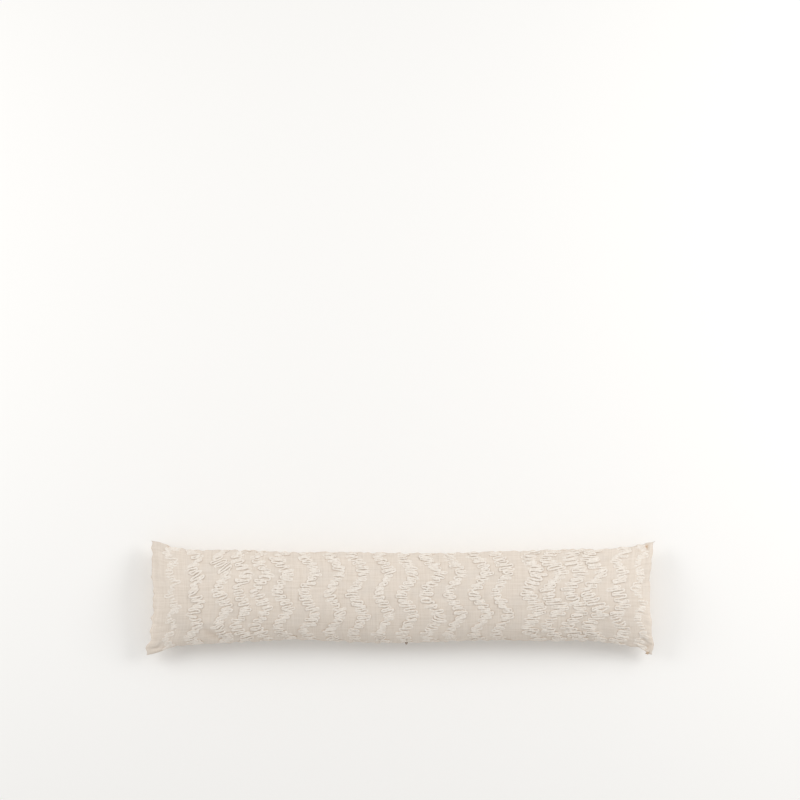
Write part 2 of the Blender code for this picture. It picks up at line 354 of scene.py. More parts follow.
def add_node(tree, kind, inputs=None, **settings):
    """Adds a node, with its own settings and its inputs."""
    node = tree.nodes.new(kind)
    for name, value in settings.items():
        setattr(node, name, value)
    set_inputs(node, inputs or {})
    return node


def maths(tree, operation, a, b=0.0, c=0.0):
    """Adds a maths node and returns its output."""
    return add_node(tree, "ShaderNodeMath", {0: a, 1: b, 2: c}, operation=operation).outputs[0]


def clamped(tree, value):
    """Adds a node that keeps a value between 0 and 1 and returns its output."""
    return add_node(tree, "ShaderNodeClamp", {0: value}).outputs[0]


def blended(tree, share, from_colour, to_colour):
    """Adds a node that mixes two colours and returns its output."""
    inputs = {0: share, 6: from_colour, 7: to_colour}
    return add_node(tree, "ShaderNodeMix", inputs, data_type="RGBA").outputs[2]


def new_material(name):
    """An empty material with its shader: (material, node tree, shader)."""
    material = bpy.data.materials.new(name)
    material.use_nodes = True
    return material, material.node_tree, material.node_tree.nodes["Principled BSDF"]


# How far each set of slubs is stretched: the spot's scale along and across, two threads wide first
SLUBS = ((0.80, 0.040, 1), (0.040, 0.80, 1), (0.45, 0.025, 1), (0.025, 0.45, 1))
PATCH = 32 * MM  # across a patch of greyed cloth


def weave_height(tree, spot):
    """How high a plain weave stands: warp and weft go over each other in turn."""
    split = add_node(tree, "ShaderNodeSeparateXYZ", {0: spot})
    waves = [maths(tree, "SINE", maths(tree, "MULTIPLY", split.outputs[k], math.pi)) for k in (0, 1)]
    humps = [maths(tree, "ABSOLUTE", wave) for wave in waves]
    crossing = maths(tree, "MULTIPLY", waves[0], waves[1])
    over = clamped(tree, maths(tree, "MULTIPLY_ADD", crossing, 1.6, 0.5))
    warp = maths(tree, "MULTIPLY", humps[0], maths(tree, "MULTIPLY_ADD", humps[1], 0.4, 0.6))
    weft = maths(tree, "MULTIPLY", humps[1], maths(tree, "MULTIPLY_ADD", humps[0], 0.4, 0.6))
    return add_node(tree, "ShaderNodeMix", {0: over, 2: weft, 3: warp}).outputs[0]


def slub_streaks(tree, spot):
    """Streaks where the threads are thicker and paler, or thinner, along and across the cloth."""
    streaks = []
    for stretch in SLUBS:
        drawn = add_node(tree, "ShaderNodeMapping", {"Vector": spot, "Scale": stretch}).outputs[0]
        inputs = {"Vector": drawn, "Scale": 1.0, "Detail": 2.0, "Roughness": 0.6}
        noise = add_node(tree, "ShaderNodeTexNoise", inputs, noise_dimensions="2D")
        streaks.append(noise.outputs[0])
    narrow = maths(tree, "ADD", streaks[0], streaks[1])
    wide = maths(tree, "ADD", streaks[2], streaks[3])
    return maths(tree, "MULTIPLY_ADD", maths(tree, "ADD", narrow, wide), 0.44, -0.38)


def plain_weave_cotton(s):
    """Coarse undyed plain weave: matt, each thread a little thicker or paler than the next.

    The threads are drawn at about their real spacing. What the eye makes out from a step away is
    the slubs, so their streaks are drawn two and five threads wide, along and across. Patches
    have greyed. Sharp creases and the seams are painted darker and warmer, as painted shade.
    """
    material, tree, shader = new_material("plain_weave_ecru_cotton")
    uv = add_node(tree, "ShaderNodeUVMap", uv_map="cloth").outputs[0]
    threads = (s.length / s.thread, s.width / s.thread, 1.0)
    spot = add_node(tree, "ShaderNodeMapping", {"Vector": uv, "Scale": threads}).outputs[0]
    weave = weave_height(tree, spot)
    streak = slub_streaks(tree, spot)
    inputs = {"Vector": spot, "Scale": 1.7, "Detail": 3.0}
    fuzz = add_node(tree, "ShaderNodeTexNoise", inputs, noise_dimensions="2D").outputs[0]
    # partly painted shade: the weave's low places between threads go darker; the slub streaks and fuzz are
    # the cloth's own uneven tone
    pale = maths(tree, "MULTIPLY_ADD", weave, 0.35, streak)
    pale = clamped(tree, maths(tree, "ADD", pale, maths(tree, "MULTIPLY", fuzz, 0.25)))
    colour = blended(tree, pale, (*s.cloth_shade, 1.0), (*s.cloth, 1.0))
    inputs = {"Vector": spot, "Scale": s.thread / PATCH}
    patch = add_node(tree, "ShaderNodeTexNoise", inputs, noise_dimensions="2D").outputs[0]
    inputs = {"Value": patch, "From Min": 0.45, "From Max": 0.7, "To Max": 0.2}
    greyed = add_node(tree, "ShaderNodeMapRange", inputs).outputs[0]
    # painted shade: creases and seams go darker and warmer by the cover's sharp attribute; the greyed
    # patches are the cloth's own tone
    sharp = add_node(tree, "ShaderNodeAttribute", attribute_name="sharp").outputs["Fac"]
    for share, tint in ((greyed, s.cloth_cool), (sharp, s.cloth_crease_shade)):
        colour = blended(tree, clamped(tree, share), colour, (*tint, 1.0))
    relief = maths(tree, "ADD", maths(tree, "MULTIPLY", fuzz, 0.5), streak)
    relief = maths(tree, "ADD", weave, relief)
    bump = add_node(tree, "ShaderNodeBump", {"Strength": 0.55, "Distance": 0.35 * MM, "Height": relief})
    finish = {
        "Base Color": colour,
        "Normal": bump.outputs[0],
        "Roughness": 0.92,
        "IOR": 1.45,
        "Specular IOR Level": 0.25,
        "Sheen Weight": 0.12,
        "Sheen Roughness": 0.5,
    }
    set_inputs(shader, finish)
    return material


FIBRE = 0.9 * MM  # across one tuft of the yarn's fibres
DYE_PATCH = 4.5 * MM  # across a patch of paler yarn


def soft_cotton_yarn(s):
    """Bleached two-ply yarn with little twist: pale and woolly, with a soft sheen at its edges.

    Between its strands and below, where less light reaches it, the yarn is painted darker and
    warmer, as painted shade.
    """
    material, tree, shader = new_material("soft_two_ply_cotton_yarn")
    spot = add_node(tree, "ShaderNodeTexCoord").outputs["Object"]
    inputs = {"Vector": spot, "Scale": 1.0 / FIBRE, "Detail": 4.0, "Roughness": 0.65}
    fibres = add_node(tree, "ShaderNodeTexNoise", inputs).outputs[0]
    inputs = {"Vector": spot, "Scale": 1.0 / DYE_PATCH, "Detail": 3.0}
    patches = add_node(tree, "ShaderNodeTexNoise", inputs).outputs[0]
    mixed = maths(tree, "MULTIPLY_ADD", fibres, 0.9, patches)
    inputs = {"Value": mixed, "From Min": 0.65, "From Max": 1.15}
    pale = add_node(tree, "ShaderNodeMapRange", inputs).outputs[0]
    colour = blended(tree, pale, (*s.yarn_shade, 1.0), (*s.yarn, 1.0))
    # painted shade: by its depth attribute the yarn goes darker and warmer on its sides and underside
    depth = add_node(tree, "ShaderNodeAttribute", attribute_name="depth").outputs["Fac"]
    inputs = {"Value": depth, "From Min": 0.17, "From Max": 0.55}
    painted_gap_shade = add_node(tree, "ShaderNodeMapRange", inputs, interpolation_type="SMOOTHSTEP").outputs[0]
    colour = blended(tree, painted_gap_shade, colour, (*s.yarn_gap_shade, 1.0))
    bump = add_node(tree, "ShaderNodeBump", {"Strength": 0.6, "Distance": 0.35 * MM, "Height": fibres})
    finish = {
        "Base Color": colour,
        "Normal": bump.outputs[0],
        "Roughness": 0.85,
        "IOR": 1.5,
        "Specular IOR Level": 0.3,
        "Sheen Weight": 0.25,
        "Sheen Roughness": 0.4,
    }
    set_inputs(shader, finish)
    return material


def panel_of(s, name, side):
    """One panel of the cover as a grid, with each point's place on the cloth kept on it."""
    columns, rows = round(s.length / s.cell), round(s.width / s.cell)
    bpy.ops.mesh.primitive_grid_add(x_subdivisions=columns, y_subdivisions=rows, size=2.0)
    panel = bpy.context.object
    panel.name = name
    mesh = panel.data
    mesh.uv_layers[0].name = "cloth"
    flat = coordinates(mesh)
    u, v = flat[:, 0] * s.length / 2, flat[:, 1] * s.width / 2
    places = np.stack([u, v, np.full(len(u), float(side))], axis=1)
    kept = mesh.attributes.new("place", "FLOAT_VECTOR", "POINT")
    kept.data.foreach_set("vector", places.astype(np.float32).ravel())
    place_points(mesh, filled_point(s, u, v, places[:, 2]))
    if side < 0:
        mesh.flip_normals()
    return panel


def sew_panels(s):
    """Joins the two panels along all four seams into the closed cover."""
    cover = panel_of(s, "cushion_cover", 1)
    back = panel_of(s, "back_panel", -1)
    select_only(cover, back)
    bpy.ops.object.join()
    bpy.ops.object.mode_set(mode="EDIT")
    bpy.ops.mesh.select_all(action="SELECT")
    bpy.ops.mesh.remove_doubles(threshold=0.00001)
    bpy.ops.object.mode_set(mode="OBJECT")
    places = places_of(cover.data)
    places[on_seam(s, places[:, 0], places[:, 1]), 2] = 0.0
    cover.data.attributes["place"].data.foreach_set("vector", places.astype(np.float32).ravel())
    return cover


def places_of(mesh):
    """Each point's place on the cloth: u, v and side, which is 0 on a seam."""
    flat = np.zeros(len(mesh.vertices) * 3, np.float32)
    mesh.attributes["place"].data.foreach_get("vector", flat)
    return flat.reshape(-1, 3).astype(float)


def on_seam(s, u, v):
    """Whether places on the cloth lie on a seam."""
    near = 0.25 * s.cell
    return (s.length / 2 - abs(u) < near) | (s.width / 2 - abs(v) < near)


PANEL_GAP = 0.2 * MM  # how far each flat panel lies from the seams' level, to keep the two apart
# How deep the simulation's floor lies, how thick it is and how far the cloth keeps off it
CLEARANCE = 1.0 * MM


def flat_cloth(s, cover, places, seams):
    """The flat shape that the cloth was cut to, as a shape key, with the extra cloth added."""
    cover.shape_key_add(name="Filled")
    cut = cover.shape_key_add(name="Flat cloth")
    flat = places * (1.0 + s.slack)
    flat[:, 2] = s.seam_height + np.where(seams, 0.0, places[:, 2] * PANEL_GAP)
    cut.data.foreach_set("co", flat.astype(np.float32).ravel())
    return cut


def cloth_modifier(s, cover, cut, held):
    """The cloth simulation of a soft but close cotton weave, blown up by its filling."""
    cloth = cover.modifiers.new("Cloth", "CLOTH")
    weave = cloth.settings
    weave.quality = 6
    weave.mass = 0.05
    weave.air_damping = 3.0
    weave.tension_stiffness = weave.compression_stiffness = 40.0
    weave.shear_stiffness = 8.0
    weave.bending_stiffness = 0.4
    weave.tension_damping = weave.compression_damping = weave.shear_damping = 10.0
    weave.use_pressure = True
    weave.uniform_pressure_force = s.pressure
    weave.rest_shape_key = cut
    weave.vertex_group_mass = held.name
    weave.effector_weights.gravity = 0.0
    cloth.collision_settings.distance_min = CLEARANCE
    cloth.point_cache.frame_end = s.frames + 1
    return cloth


def simulation_floor():
    """A floor that the filled back is pressed flat on."""
    bpy.ops.mesh.primitive_plane_add(size=3.0, location=(0.0, 0.0, -CLEARANCE))
    ground = bpy.context.object
    ground.modifiers.new("Collision", "COLLISION")
    ground.collision.thickness_outer = CLEARANCE
    return ground


def fill_cover(s, cover):
    """Fills the cover by simulation, its seams held, until the cloth is taut over its filling."""
    mesh = cover.data
    start = coordinates(mesh)
    places = places_of(mesh)
    seams = on_seam(s, places[:, 0], places[:, 1])
    cut = flat_cloth(s, cover, places, seams)
    held = cover.vertex_groups.new(name="seams")
    held.add([int(k) for k in np.flatnonzero(seams)], 1.0, "REPLACE")
    cloth = cloth_modifier(s, cover, cut, held)
    ground = simulation_floor()
    for step in range(1, s.frames + 1):
        bpy.context.scene.frame_set(step)
    settled = cover.evaluated_get(bpy.context.evaluated_depsgraph_get()).data
    moved = coordinates(settled) - start
    far = np.linalg.norm(moved, axis=1, keepdims=True)
    moved *= np.minimum(1.0, s.cap / np.maximum(far, 1e-9))
    cover.modifiers.remove(cloth)
    cover.shape_key_clear()
    cover.vertex_groups.remove(held)
    bpy.data.objects.remove(ground)
    bpy.context.scene.frame_set(1)
    filled = start + moved
    filled[:, 2] = np.maximum(filled[:, 2], 0.0)
    place_points(mesh, filled)


def trough(u, v, crease):
    """How deep a crease presses at places on the cloth."""
    start = np.array([crease.u0, crease.v0])
    run = np.array([crease.u1, crease.v1]) - start
    spot = np.stack([u, v], axis=1) - start
    share = np.clip(spot @ run / (run @ run), 0.0, 1.0)
    away = np.linalg.norm(spot - share[:, None] * run, axis=1)
    ends = np.sin(math.pi * np.clip(0.15 + 0.7 * share, 0.0, 1.0))
    return crease.depth * ends * np.exp(-((away / crease.width) ** 2))


# The puckers along a kind of seam: how far they keep from its ends, the gap from one to the next,
# their reach into the cloth, how much they lean, their width and their depth
Pucker = namedtuple("Pucker", "margin gap reach lean width depth")
SIDE_PUCKERS = Pucker(0.020, (0.011, 0.026), (0.006, 0.020), 0.20, 0.0028, (0.0003, 0.0011))
END_PUCKERS = Pucker(0.012, (0.007, 0.016), (0.008, 0.030), 0.25, 0.0027, (0.0006, 0.0021))

# The unevenness of the filling: how many waves make it, how long they are, and how high each is
LUMP_WAVES = 14
LUMP_LENGTHS = (0.045, 0.110)
LUMP_HEIGHT = 0.00016

# The seams' waver: how many waves make it and how long they are
WAVER_WAVES = 6
WAVER_LENGTHS = (0.014, 0.045)
WAVER_PEAK = 2.5  # about the most that so many waves reach together

BACK_SHARE = 0.3  # how much of the face's creases shows on the seams and the back
SEAM_PRESS = 0.0009  # how far the stitching draws the seam in between the two panels
# painted shade: how much of a crease's darker, warmer colour the seams are given
SEAM_SHARPNESS = 0.30  # how far it takes on the warmer look of a crease
END_EASE = 0.0012  # how far the end seams are eased out again after that
PUCKER_SEED, END_SEED, WAVER_SEED, KNOT_SEED = 5, 8, 8, 3  # which unevenness each gets


def puckers_along(length, kind, rng):
    """The puckers along one seam: the place, reach, lean and depth of each."""
    at = -length / 2 + kind.margin
    while at < length / 2 - kind.margin:
        at += rng.uniform(*kind.gap)
        reach = rng.uniform(*kind.reach)
        lean = rng.normal(0.0, kind.lean) * reach
        yield at, reach, lean, rng.uniform(*kind.depth)


def side_puckers(s, rng):
    """The short uneven creases that the stitching draws into the cloth along the long seams."""
    creases = []
    for side in (-1, 1):
        edge = side * s.width / 2
        for u, reach, lean, depth in puckers_along(s.length, SIDE_PUCKERS, rng):
            creases.append(Crease(u, edge, u + lean, edge - side * reach, SIDE_PUCKERS.width, depth))
    return creases


def end_puckers(s, rng):
    """The soft gathers that the end seams draw into the cloth beside them."""
    creases = []
    for side in (-1, 1):
        edge = side * s.length / 2
        for v, reach, lean, depth in puckers_along(s.width, END_PUCKERS, rng):
            creases.append(Crease(edge, v, edge - side * reach, v + lean, END_PUCKERS.width, depth))
    return creases


def soft_lumps(u, v, rng):
    """The gentle unevenness of a loose filling, in metres."""
    lumps = np.zeros(len(u))
    for _ in range(LUMP_WAVES):
        size = rng.uniform(*LUMP_LENGTHS)
        turn = rng.uniform(0.0, math.tau)
        phase = rng.uniform(0.0, math.tau)
        lumps += np.sin(math.tau / size * (u * math.cos(turn) + v * math.sin(turn)) + phase)
    return lumps * LUMP_HEIGHT


def seam_waver(at, reach, rng):
    """How far a seam strays from its line, at places along it."""
    stray = np.zeros(len(at))
    for _ in range(WAVER_WAVES):
        period = rng.uniform(*WAVER_LENGTHS)
        stray += np.sin(math.tau * at / period + rng.uniform(0.0, math.tau))
    return stray * reach / WAVER_PEAK


def pressed_in(s, u, v, side):
    """How far each point of the cover is pressed in, and how sharp the crease is there."""
    inwards = np.zeros(len(u))
    sharp = np.zeros(len(u))
    for crease in CREASES:
        pressed = trough(u, v, crease) * np.where(side > 0, 1.0, BACK_SHARE)
        inwards += pressed
        sharp += pressed * crease.depth / (2.0 * crease.width**2)
    seams = on_seam(s, u, v)
    # painted shade: the seams count as sharp creases, so they are painted darker and warmer
    inwards[seams] += SEAM_PRESS
    sharp[seams] += SEAM_SHARPNESS
    rng = np.random.default_rng(PUCKER_SEED)
    for panel in (1, -1):
        for crease in side_puckers(s, rng):
            inwards += trough(u, v, crease) * (side * panel > 0)
        inwards += soft_lumps(u, v, rng) * (side * panel > 0)
    rng = np.random.default_rng(END_SEED)
    for crease in end_puckers(s, rng):
        inwards += trough(u, v, crease)
    return inwards, sharp


def stray_seams(s, u, v, points):
    """Gives the left end seam its scallops, eases out both end seams and lets all four waver."""
    for scallop in SCALLOPS:
        away = np.hypot((u + s.length / 2) / SEAM_ROUND, (v - scallop.v) / scallop.width)
        points[:, 0] -= scallop.reach * np.exp(-(away**2))
    rng = np.random.default_rng(WAVER_SEED)
    for sign in (-1, 1):
        by_side = np.exp(-(((s.width / 2 - sign * v) / SEAM_ROUND) ** 2))
        points[:, 1] += sign * by_side * seam_waver(u, s.waver, rng)
        by_end = np.exp(-(((s.length / 2 - sign * u) / SEAM_ROUND) ** 2))
        points[:, 0] += sign * by_end * (END_EASE + seam_waver(v, s.waver, rng))


def crease_cover(s, cover):
    """Presses the creases, the puckers and the filling's lumps into the settled cover.

    How sharp a crease is at each point stays on the cover, because the cloth's material paints
    sharp creases and seams darker and warmer than the cloth beside them, as painted shade.
    """
    mesh = cover.data
    u, v, side = places_of(mesh).T
    points = coordinates(mesh)
    normals = np.zeros(len(points) * 3, np.float32)
    mesh.vertices.foreach_get("normal", normals)
    inwards, sharp = pressed_in(s, u, v, side)
    # kept for the cloth's material, which paints shade into sharp creases and seams
    kept = mesh.attributes.new("sharp", "FLOAT", "POINT")
    kept.data.foreach_set("value", sharp.astype(np.float32))
    points -= normals.reshape(-1, 3) * inwards[:, None]
    stray_seams(s, u, v, points)
    points[:, 2] = np.maximum(points[:, 2], 0.0)
    place_points(mesh, points)


def face_grid(s, cover):
    """The subdivided face's points as a grid over the cloth, with a made-up row past each edge."""
    columns, rows = round(2 * s.length / s.cell), round(2 * s.width / s.cell)
    places = places_of(cover.data)
    points = coordinates(cover.data)
    face = (places[:, 2] > 0.25) | on_seam(s, places[:, 0], places[:, 1])
    i = np.round((places[face, 0] / s.length + 0.5) * columns).astype(int)
    j = np.round((places[face, 1] / s.width + 0.5) * rows).astype(int)
    grid = np.zeros((columns + 3, rows + 3, 3))
    grid[i + 1, j + 1] = points[face]
    grid[0], grid[-1] = 2 * grid[1] - grid[2], 2 * grid[-2] - grid[-3]
    grid[:, 0], grid[:, -1] = 2 * grid[:, 1] - grid[:, 2], 2 * grid[:, -2] - grid[:, -3]
    return grid


def spline_weights(t):
    """A uniform cubic B-spline's weights, and those of its slope."""
    value = np.stack([(1 - t) ** 3, 3 * t**3 - 6 * t**2 + 4, -3 * t**3 + 3 * t**2 + 3 * t + 1, t**3])
    slope = np.stack([-((1 - t) ** 2), 3 * t**2 - 4 * t, -3 * t**2 + 2 * t + 1, t**2])
    return value / 6.0, slope / 2.0


def on_face(s, grid, u, v):
    """Points of the face at places on the cloth, and its normals there."""
    x = np.clip((u / s.length + 0.5) * (grid.shape[0] - 3), 0.0, grid.shape[0] - 3.001)
    y = np.clip((v / s.width + 0.5) * (grid.shape[1] - 3), 0.0, grid.shape[1] - 3.001)
    i, j = np.floor(x).astype(int), np.floor(y).astype(int)
    (wx, sx), (wy, sy) = spline_weights(x - i), spline_weights(y - j)
    point, along, across = (np.zeros((len(u), 3)) for _ in range(3))
    for a in range(4):
        for b in range(4):
            control = grid[i + a, j + b]
            point += control * (wx[a] * wy[b])[:, None]
            along += control * (sx[a] * wy[b])[:, None]
            across += control * (wx[a] * sy[b])[:, None]
    normal = np.cross(along, across)
    return point, normal / np.linalg.norm(normal, axis=1, keepdims=True)


TURN_SHARPNESS = 0.93  # 1 makes the zigzag's turns sharp points, and 0 a plain sine
END_ZONE = 0.87  # share of the half length past which a band sinks into the gathered cloth
END_ZONE_FADE = 0.05
END_SINK = 0.42  # share of the yarn's height by which it sinks there
END_DIVE = 0.4  # how much deeper its turns dive there

# How far each measure of a strand strays, in shares of its size times the yarn's unevenness
TILT_STRAY = 0.8
TURN_STRAY = 1.2
PLACE_STRAY = 0.8
REACH_STRAY = 1.3
BOW_STRAY = 0.8
TILT_RETURN = 0.25  # how soon a strand's slant goes back to its band's own

SLOW_SWELL = 0.16  # how far the yarn swells and thins over its slow lumps
SLOW_LUMP, SHORT_LUMP = 9, 3  # rings over which each kind of lump is evened out
SINK_REACH = 1.5  # yarn thicknesses from a seam over which the yarn sinks into it
SINK_DEPTH = 0.3  # yarn thicknesses by which its ends lie in the seam
SINK_FLATTENING = 0.6  # how much of its own height it loses there


def zigzag(band, v):
    """How far a band swings to the side at a place across the cloth: a zigzag with eased turns."""
    phase = math.pi * (v - band.left_turn) / band.half_repeat
    wave = math.asin(TURN_SHARPNESS * math.cos(phase)) / math.asin(TURN_SHARPNESS)
    return -band.swing * wave


def yarn_route(s, y, band, rng):
    """One yarn's route to and fro along a band: u, v, height and girth at its way points.

    Each turn is a loop of its own width that stands out by its own length, and each strand joins
    two turns, so that the strands fan and bunch as hand-laid yarn does.
    """
    count = round(s.width / y.pitch)
    pitch = s.width / count
    near_end = smooth_step((abs(band.u) / (s.length / 2) - END_ZONE) / END_ZONE_FADE)
    lie = y.thickness * y.flatness * (y.bedding - 0.5 - END_SINK * near_end)
    route = []
    tilt = band.tilt
    for k in range(count + 1):
        way = 1 if k % 2 else -1
        tilt += TILT_RETURN * (band.tilt - tilt) + y.unevenness * rng.normal(0.0, TILT_STRAY)
        radius = pitch / 2 * (1.0 + y.unevenness * rng.normal(0.0, TURN_STRAY))
        v = -s.width / 2 + pitch * (k + y.unevenness * rng.normal(0.0, PLACE_STRAY))
        reach = band.strand / 2 * (1.0 + y.unevenness * rng.normal(0.0, REACH_STRAY))
        middle = band.u + zigzag(band, v)
        stands = rng.uniform(-y.loop_dive * (1.0 + END_DIVE * near_end), y.loop_lift)
        for angle in (-90.0, -45.0, 0.0, 45.0, 90.0):
            bend = math.radians(angle)
            out = way * (reach - radius + radius * math.cos(bend))
            across = v + radius * math.sin(bend) + tilt * out
            route.append((middle + out, across, lie + stands, y.waist))
        rise = y.arch + y.loop_lift * rng.uniform(-0.5, 0.5)
        for share in (0.35, -0.35):
            out = way * share * (reach - radius)
            bow = y.unevenness * rng.normal(0.0, BOW_STRAY) * pitch
            route.append((middle + out, v + radius + tilt * out + bow, lie + rise, 1.0))
    return np.array(route)


def smooth_route(points, step):
    """A Catmull-Rom curve through a route's points, with a point about every step."""
    before = np.concatenate([[2 * points[0] - points[1]], points[:-1]])
    after = np.concatenate([points[1:], [2 * points[-1] - points[-2]]])
    slopes = (after - before) / 2
    shares = np.linspace(0.0, 1.0, 12, endpoint=False)[:, None]
    fine = []
    for k in range(len(points) - 1):
        a, b = points[k], points[k + 1]
        square = 3.0 * (b - a) - 2.0 * slopes[k] - slopes[k + 1]
        cubic = 2.0 * (a - b) + slopes[k] + slopes[k + 1]
        fine.append(a + shares * (slopes[k] + shares * (square + shares * cubic)))
    fine = np.concatenate([*fine, points[-1:]])
    runs = np.linalg.norm(np.diff(fine[:, :3], axis=0), axis=1)
    length = np.concatenate([[0.0], np.cumsum(runs)])
    at = np.linspace(0.0, length[-1], max(2, round(length[-1] / step)))
    return np.stack([np.interp(at, length, column) for column in fine.T], axis=1)


def uneven_swell(rng, spread, window, count):
    """Random swelling along a yarn, evened out over a window of rings."""
    return np.convolve(rng.normal(0.0, spread, count + window - 1), np.ones(window) / window, "valid")


def yarn_rings(y, centres, normals, girth, rng):
    """Rings of points round a yarn's middle line: two plies that turn, pressed a little flat."""
    along = np.gradient(centres, axis=0)
    along /= np.linalg.norm(along, axis=1, keepdims=True)
    aside = np.cross(normals, along)
    aside /= np.linalg.norm(aside, axis=1, keepdims=True)
    upwards = np.cross(along, aside)
    angle = np.linspace(0.0, math.tau, y.sides, endpoint=False)
    run = np.arange(len(centres)) * y.step
    ply = np.cos(2.0 * (angle[None, :] - math.tau * run[:, None] / y.ply_turn))
    swell = uneven_swell(rng, SLOW_SWELL, SLOW_LUMP, len(run))
    swell += uneven_swell(rng, y.knobs, SHORT_LUMP, len(run))
    radius = y.thickness / 2 * (1.0 + 0.5 * y.ply_depth * ply) * (girth + swell)[:, None]
    across = (radius * np.cos(angle))[:, :, None] * aside[:, None, :]
    up = (radius * np.sin(angle) * y.flatness)[:, :, None] * upwards[:, None, :]
    return centres[:, None, :] + across + up


def closed_tube(name, rings):
    """A closed tube through rings of points, with a point in the middle of each end.

    How deep each point lies is kept on it: 0 on top of the yarn and 1 below it.
    """
    count, sides = rings.shape[:2]
    ends = np.stack([rings[0].mean(axis=0), rings[-1].mean(axis=0)])
    points = np.concatenate([rings.reshape(-1, 3), ends])
    row = np.arange(count - 1)[:, None] * sides
    k = np.arange(sides)[None, :]
    after = (k + 1) % sides
    quads = np.stack([row + k, row + after, row + sides + after, row + sides + k], axis=2).reshape(-1, 4)
    k, after, last = k[0], after[0], (count - 1) * sides
    first_cap = np.stack([after, k, np.full(sides, count * sides)], axis=1)
    last_cap = np.stack([last + k, last + after, np.full(sides, count * sides + 1)], axis=1)
    mesh = bpy.data.meshes.new(name)
    mesh.from_pydata(points.tolist(), [], [*quads.tolist(), *first_cap.tolist(), *last_cap.tolist()])
    mesh.shade_smooth()
    depth = (1.0 - np.sin(np.linspace(0.0, math.tau, sides, endpoint=False))) / 2
    kept = mesh.attributes.new("depth", "FLOAT", "POINT")
    kept.data.foreach_set("value", np.append(np.tile(depth, count), [1.0, 1.0]).astype(np.float32))
    tube = bpy.data.objects.new(name, mesh)
    bpy.context.scene.collection.objects.link(tube)
    return tube


def lay_yarn(s, y, grid, band, number, rng):
    """One band: a single yarn laid to and fro on the face, both ends caught in the seams."""
    route = smooth_route(yarn_route(s, y, band, rng), y.step)
    edge = s.length / 2 - 0.5 * MM
    u = np.clip(route[:, 0], -edge, edge)
    v = np.clip(route[:, 1], -s.width / 2, s.width / 2)
    ground, normal = on_face(s, grid, u, v)
    to_seam = np.minimum(s.width / 2 - abs(v), s.length / 2 - abs(u))
    sunk = 1.0 - smooth_step(to_seam / (SINK_REACH * y.thickness))
    height = route[:, 2] * (1.0 - SINK_FLATTENING * sunk) - SINK_DEPTH * sunk * y.thickness
    centres = ground + normal * height[:, None]
    return closed_tube(f"yarn_band_{number:02d}", yarn_rings(y, centres, normal, route[:, 3], rng))


def waxed_thread(t):
    """Waxed sewing thread: darker than the cloth, smooth, with a dull shine from the wax."""
    material, tree, shader = new_material("waxed_taupe_sewing_thread")
    spot = add_node(tree, "ShaderNodeTexCoord").outputs["Object"]
    fibres = add_node(tree, "ShaderNodeTexNoise", {"Vector": spot, "Scale": 1.0 / (0.5 * MM)}).outputs[0]
    shade = [channel * 0.7 for channel in t.thread]
    colour = blended(tree, fibres, (*shade, 1.0), (*t.thread, 1.0))
    bump = add_node(tree, "ShaderNodeBump", {"Strength": 0.4, "Distance": 0.1 * MM, "Height": fibres})
    finish = {"Base Color": colour, "Normal": bump.outputs[0], "Roughness": 0.55, "IOR": 1.45}
    set_inputs(shader, finish)
    return material


KNOT_GAP = 0.15  # the turn left open where the thread's two ends are cut off
KNOT_POINTS = 90
KNOT_ACROSS = 6.0  # how wide its lobes are in their own units


def overhand_knot(t, middle):
    """An overhand knot drawn tight against the seam: one thread through three small lobes."""
    turn = np.linspace(KNOT_GAP, math.tau - KNOT_GAP, KNOT_POINTS)
    x = np.sin(turn) + 2 * np.sin(2 * turn)
    y = np.cos(turn) - 2 * np.cos(2 * turn)
    lobes = np.stack([x, y, -np.sin(3 * turn)], axis=1)
    centres = smooth_route(middle + lobes * t.knot / KNOT_ACROSS, t.step)
    upwards = np.tile([0.0, 0.0, 1.0], (len(centres), 1))
    rng = np.random.default_rng(KNOT_SEED)
    return closed_tube("closing_thread", yarn_rings(t, centres, upwards, np.ones(len(centres)), rng))


LAMP_ASIDE, LAMP_ABOVE, LAMP_HEIGHT = 1.80, 0.80, 1.50  # from the cushion's middle
LAMP_SIZE = 1.2
FLOOR_SIZE = 12.0
FLOOR_DROP = 0.3 * MM  # keeps the floor just clear of the cushion's foot


def add_softbox(name, place, size, watts):
    """A square soft lamp that points at the cushion."""
    bpy.ops.object.light_add(type="AREA", location=place)
    lamp = bpy.context.object
    lamp.name = name
    lamp.data.shape = "SQUARE"
    lamp.data.size = size
    lamp.data.energy = watts
    lamp.rotation_euler = (-place).to_track_quat("-Z", "Y").to_euler()


class DRAUGHT_OT_cushion(Operator):
    """Make the filled cover: two panels sewn together, filled by simulation and creased"""

    bl_idname = "draught.cushion"
    bl_label = "Filled Cushion"

    def execute(self, context):
        s = context.scene.draught_cushion
        cover = sew_panels(s)
        fill_cover(s, cover)
        select_only(cover)
        finer = cover.modifiers.new("Finer", "SUBSURF")
        finer.levels = finer.render_levels = 1
        bpy.ops.object.modifier_apply(modifier=finer.name)
        crease_cover(s, cover)
        bpy.ops.object.shade_smooth()
        cover.data.materials.append(plain_weave_cotton(s))
        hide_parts(NODE)
        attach(cover, "root")
        return {"FINISHED"}


class DRAUGHT_OT_yarn_bands(Operator):
    """Lay the bands of looped yarn on the cushion's face"""

    bl_idname = "draught.yarn_bands"
    bl_label = "Yarn Bands"

    def execute(self, context):
        s, y = context.scene.draught_cushion, context.scene.draught_yarn
        grid = face_grid(s, bpy.data.objects["cushion_cover"])
        finish = soft_cotton_yarn(y)
        rng = np.random.default_rng(y.seed)
        for number, band in enumerate(BANDS, start=1):
            yarn = lay_yarn(s, y, grid, band, number, rng)
            yarn.data.materials.append(finish)
            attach(yarn, "root")
        return {"FINISHED"}


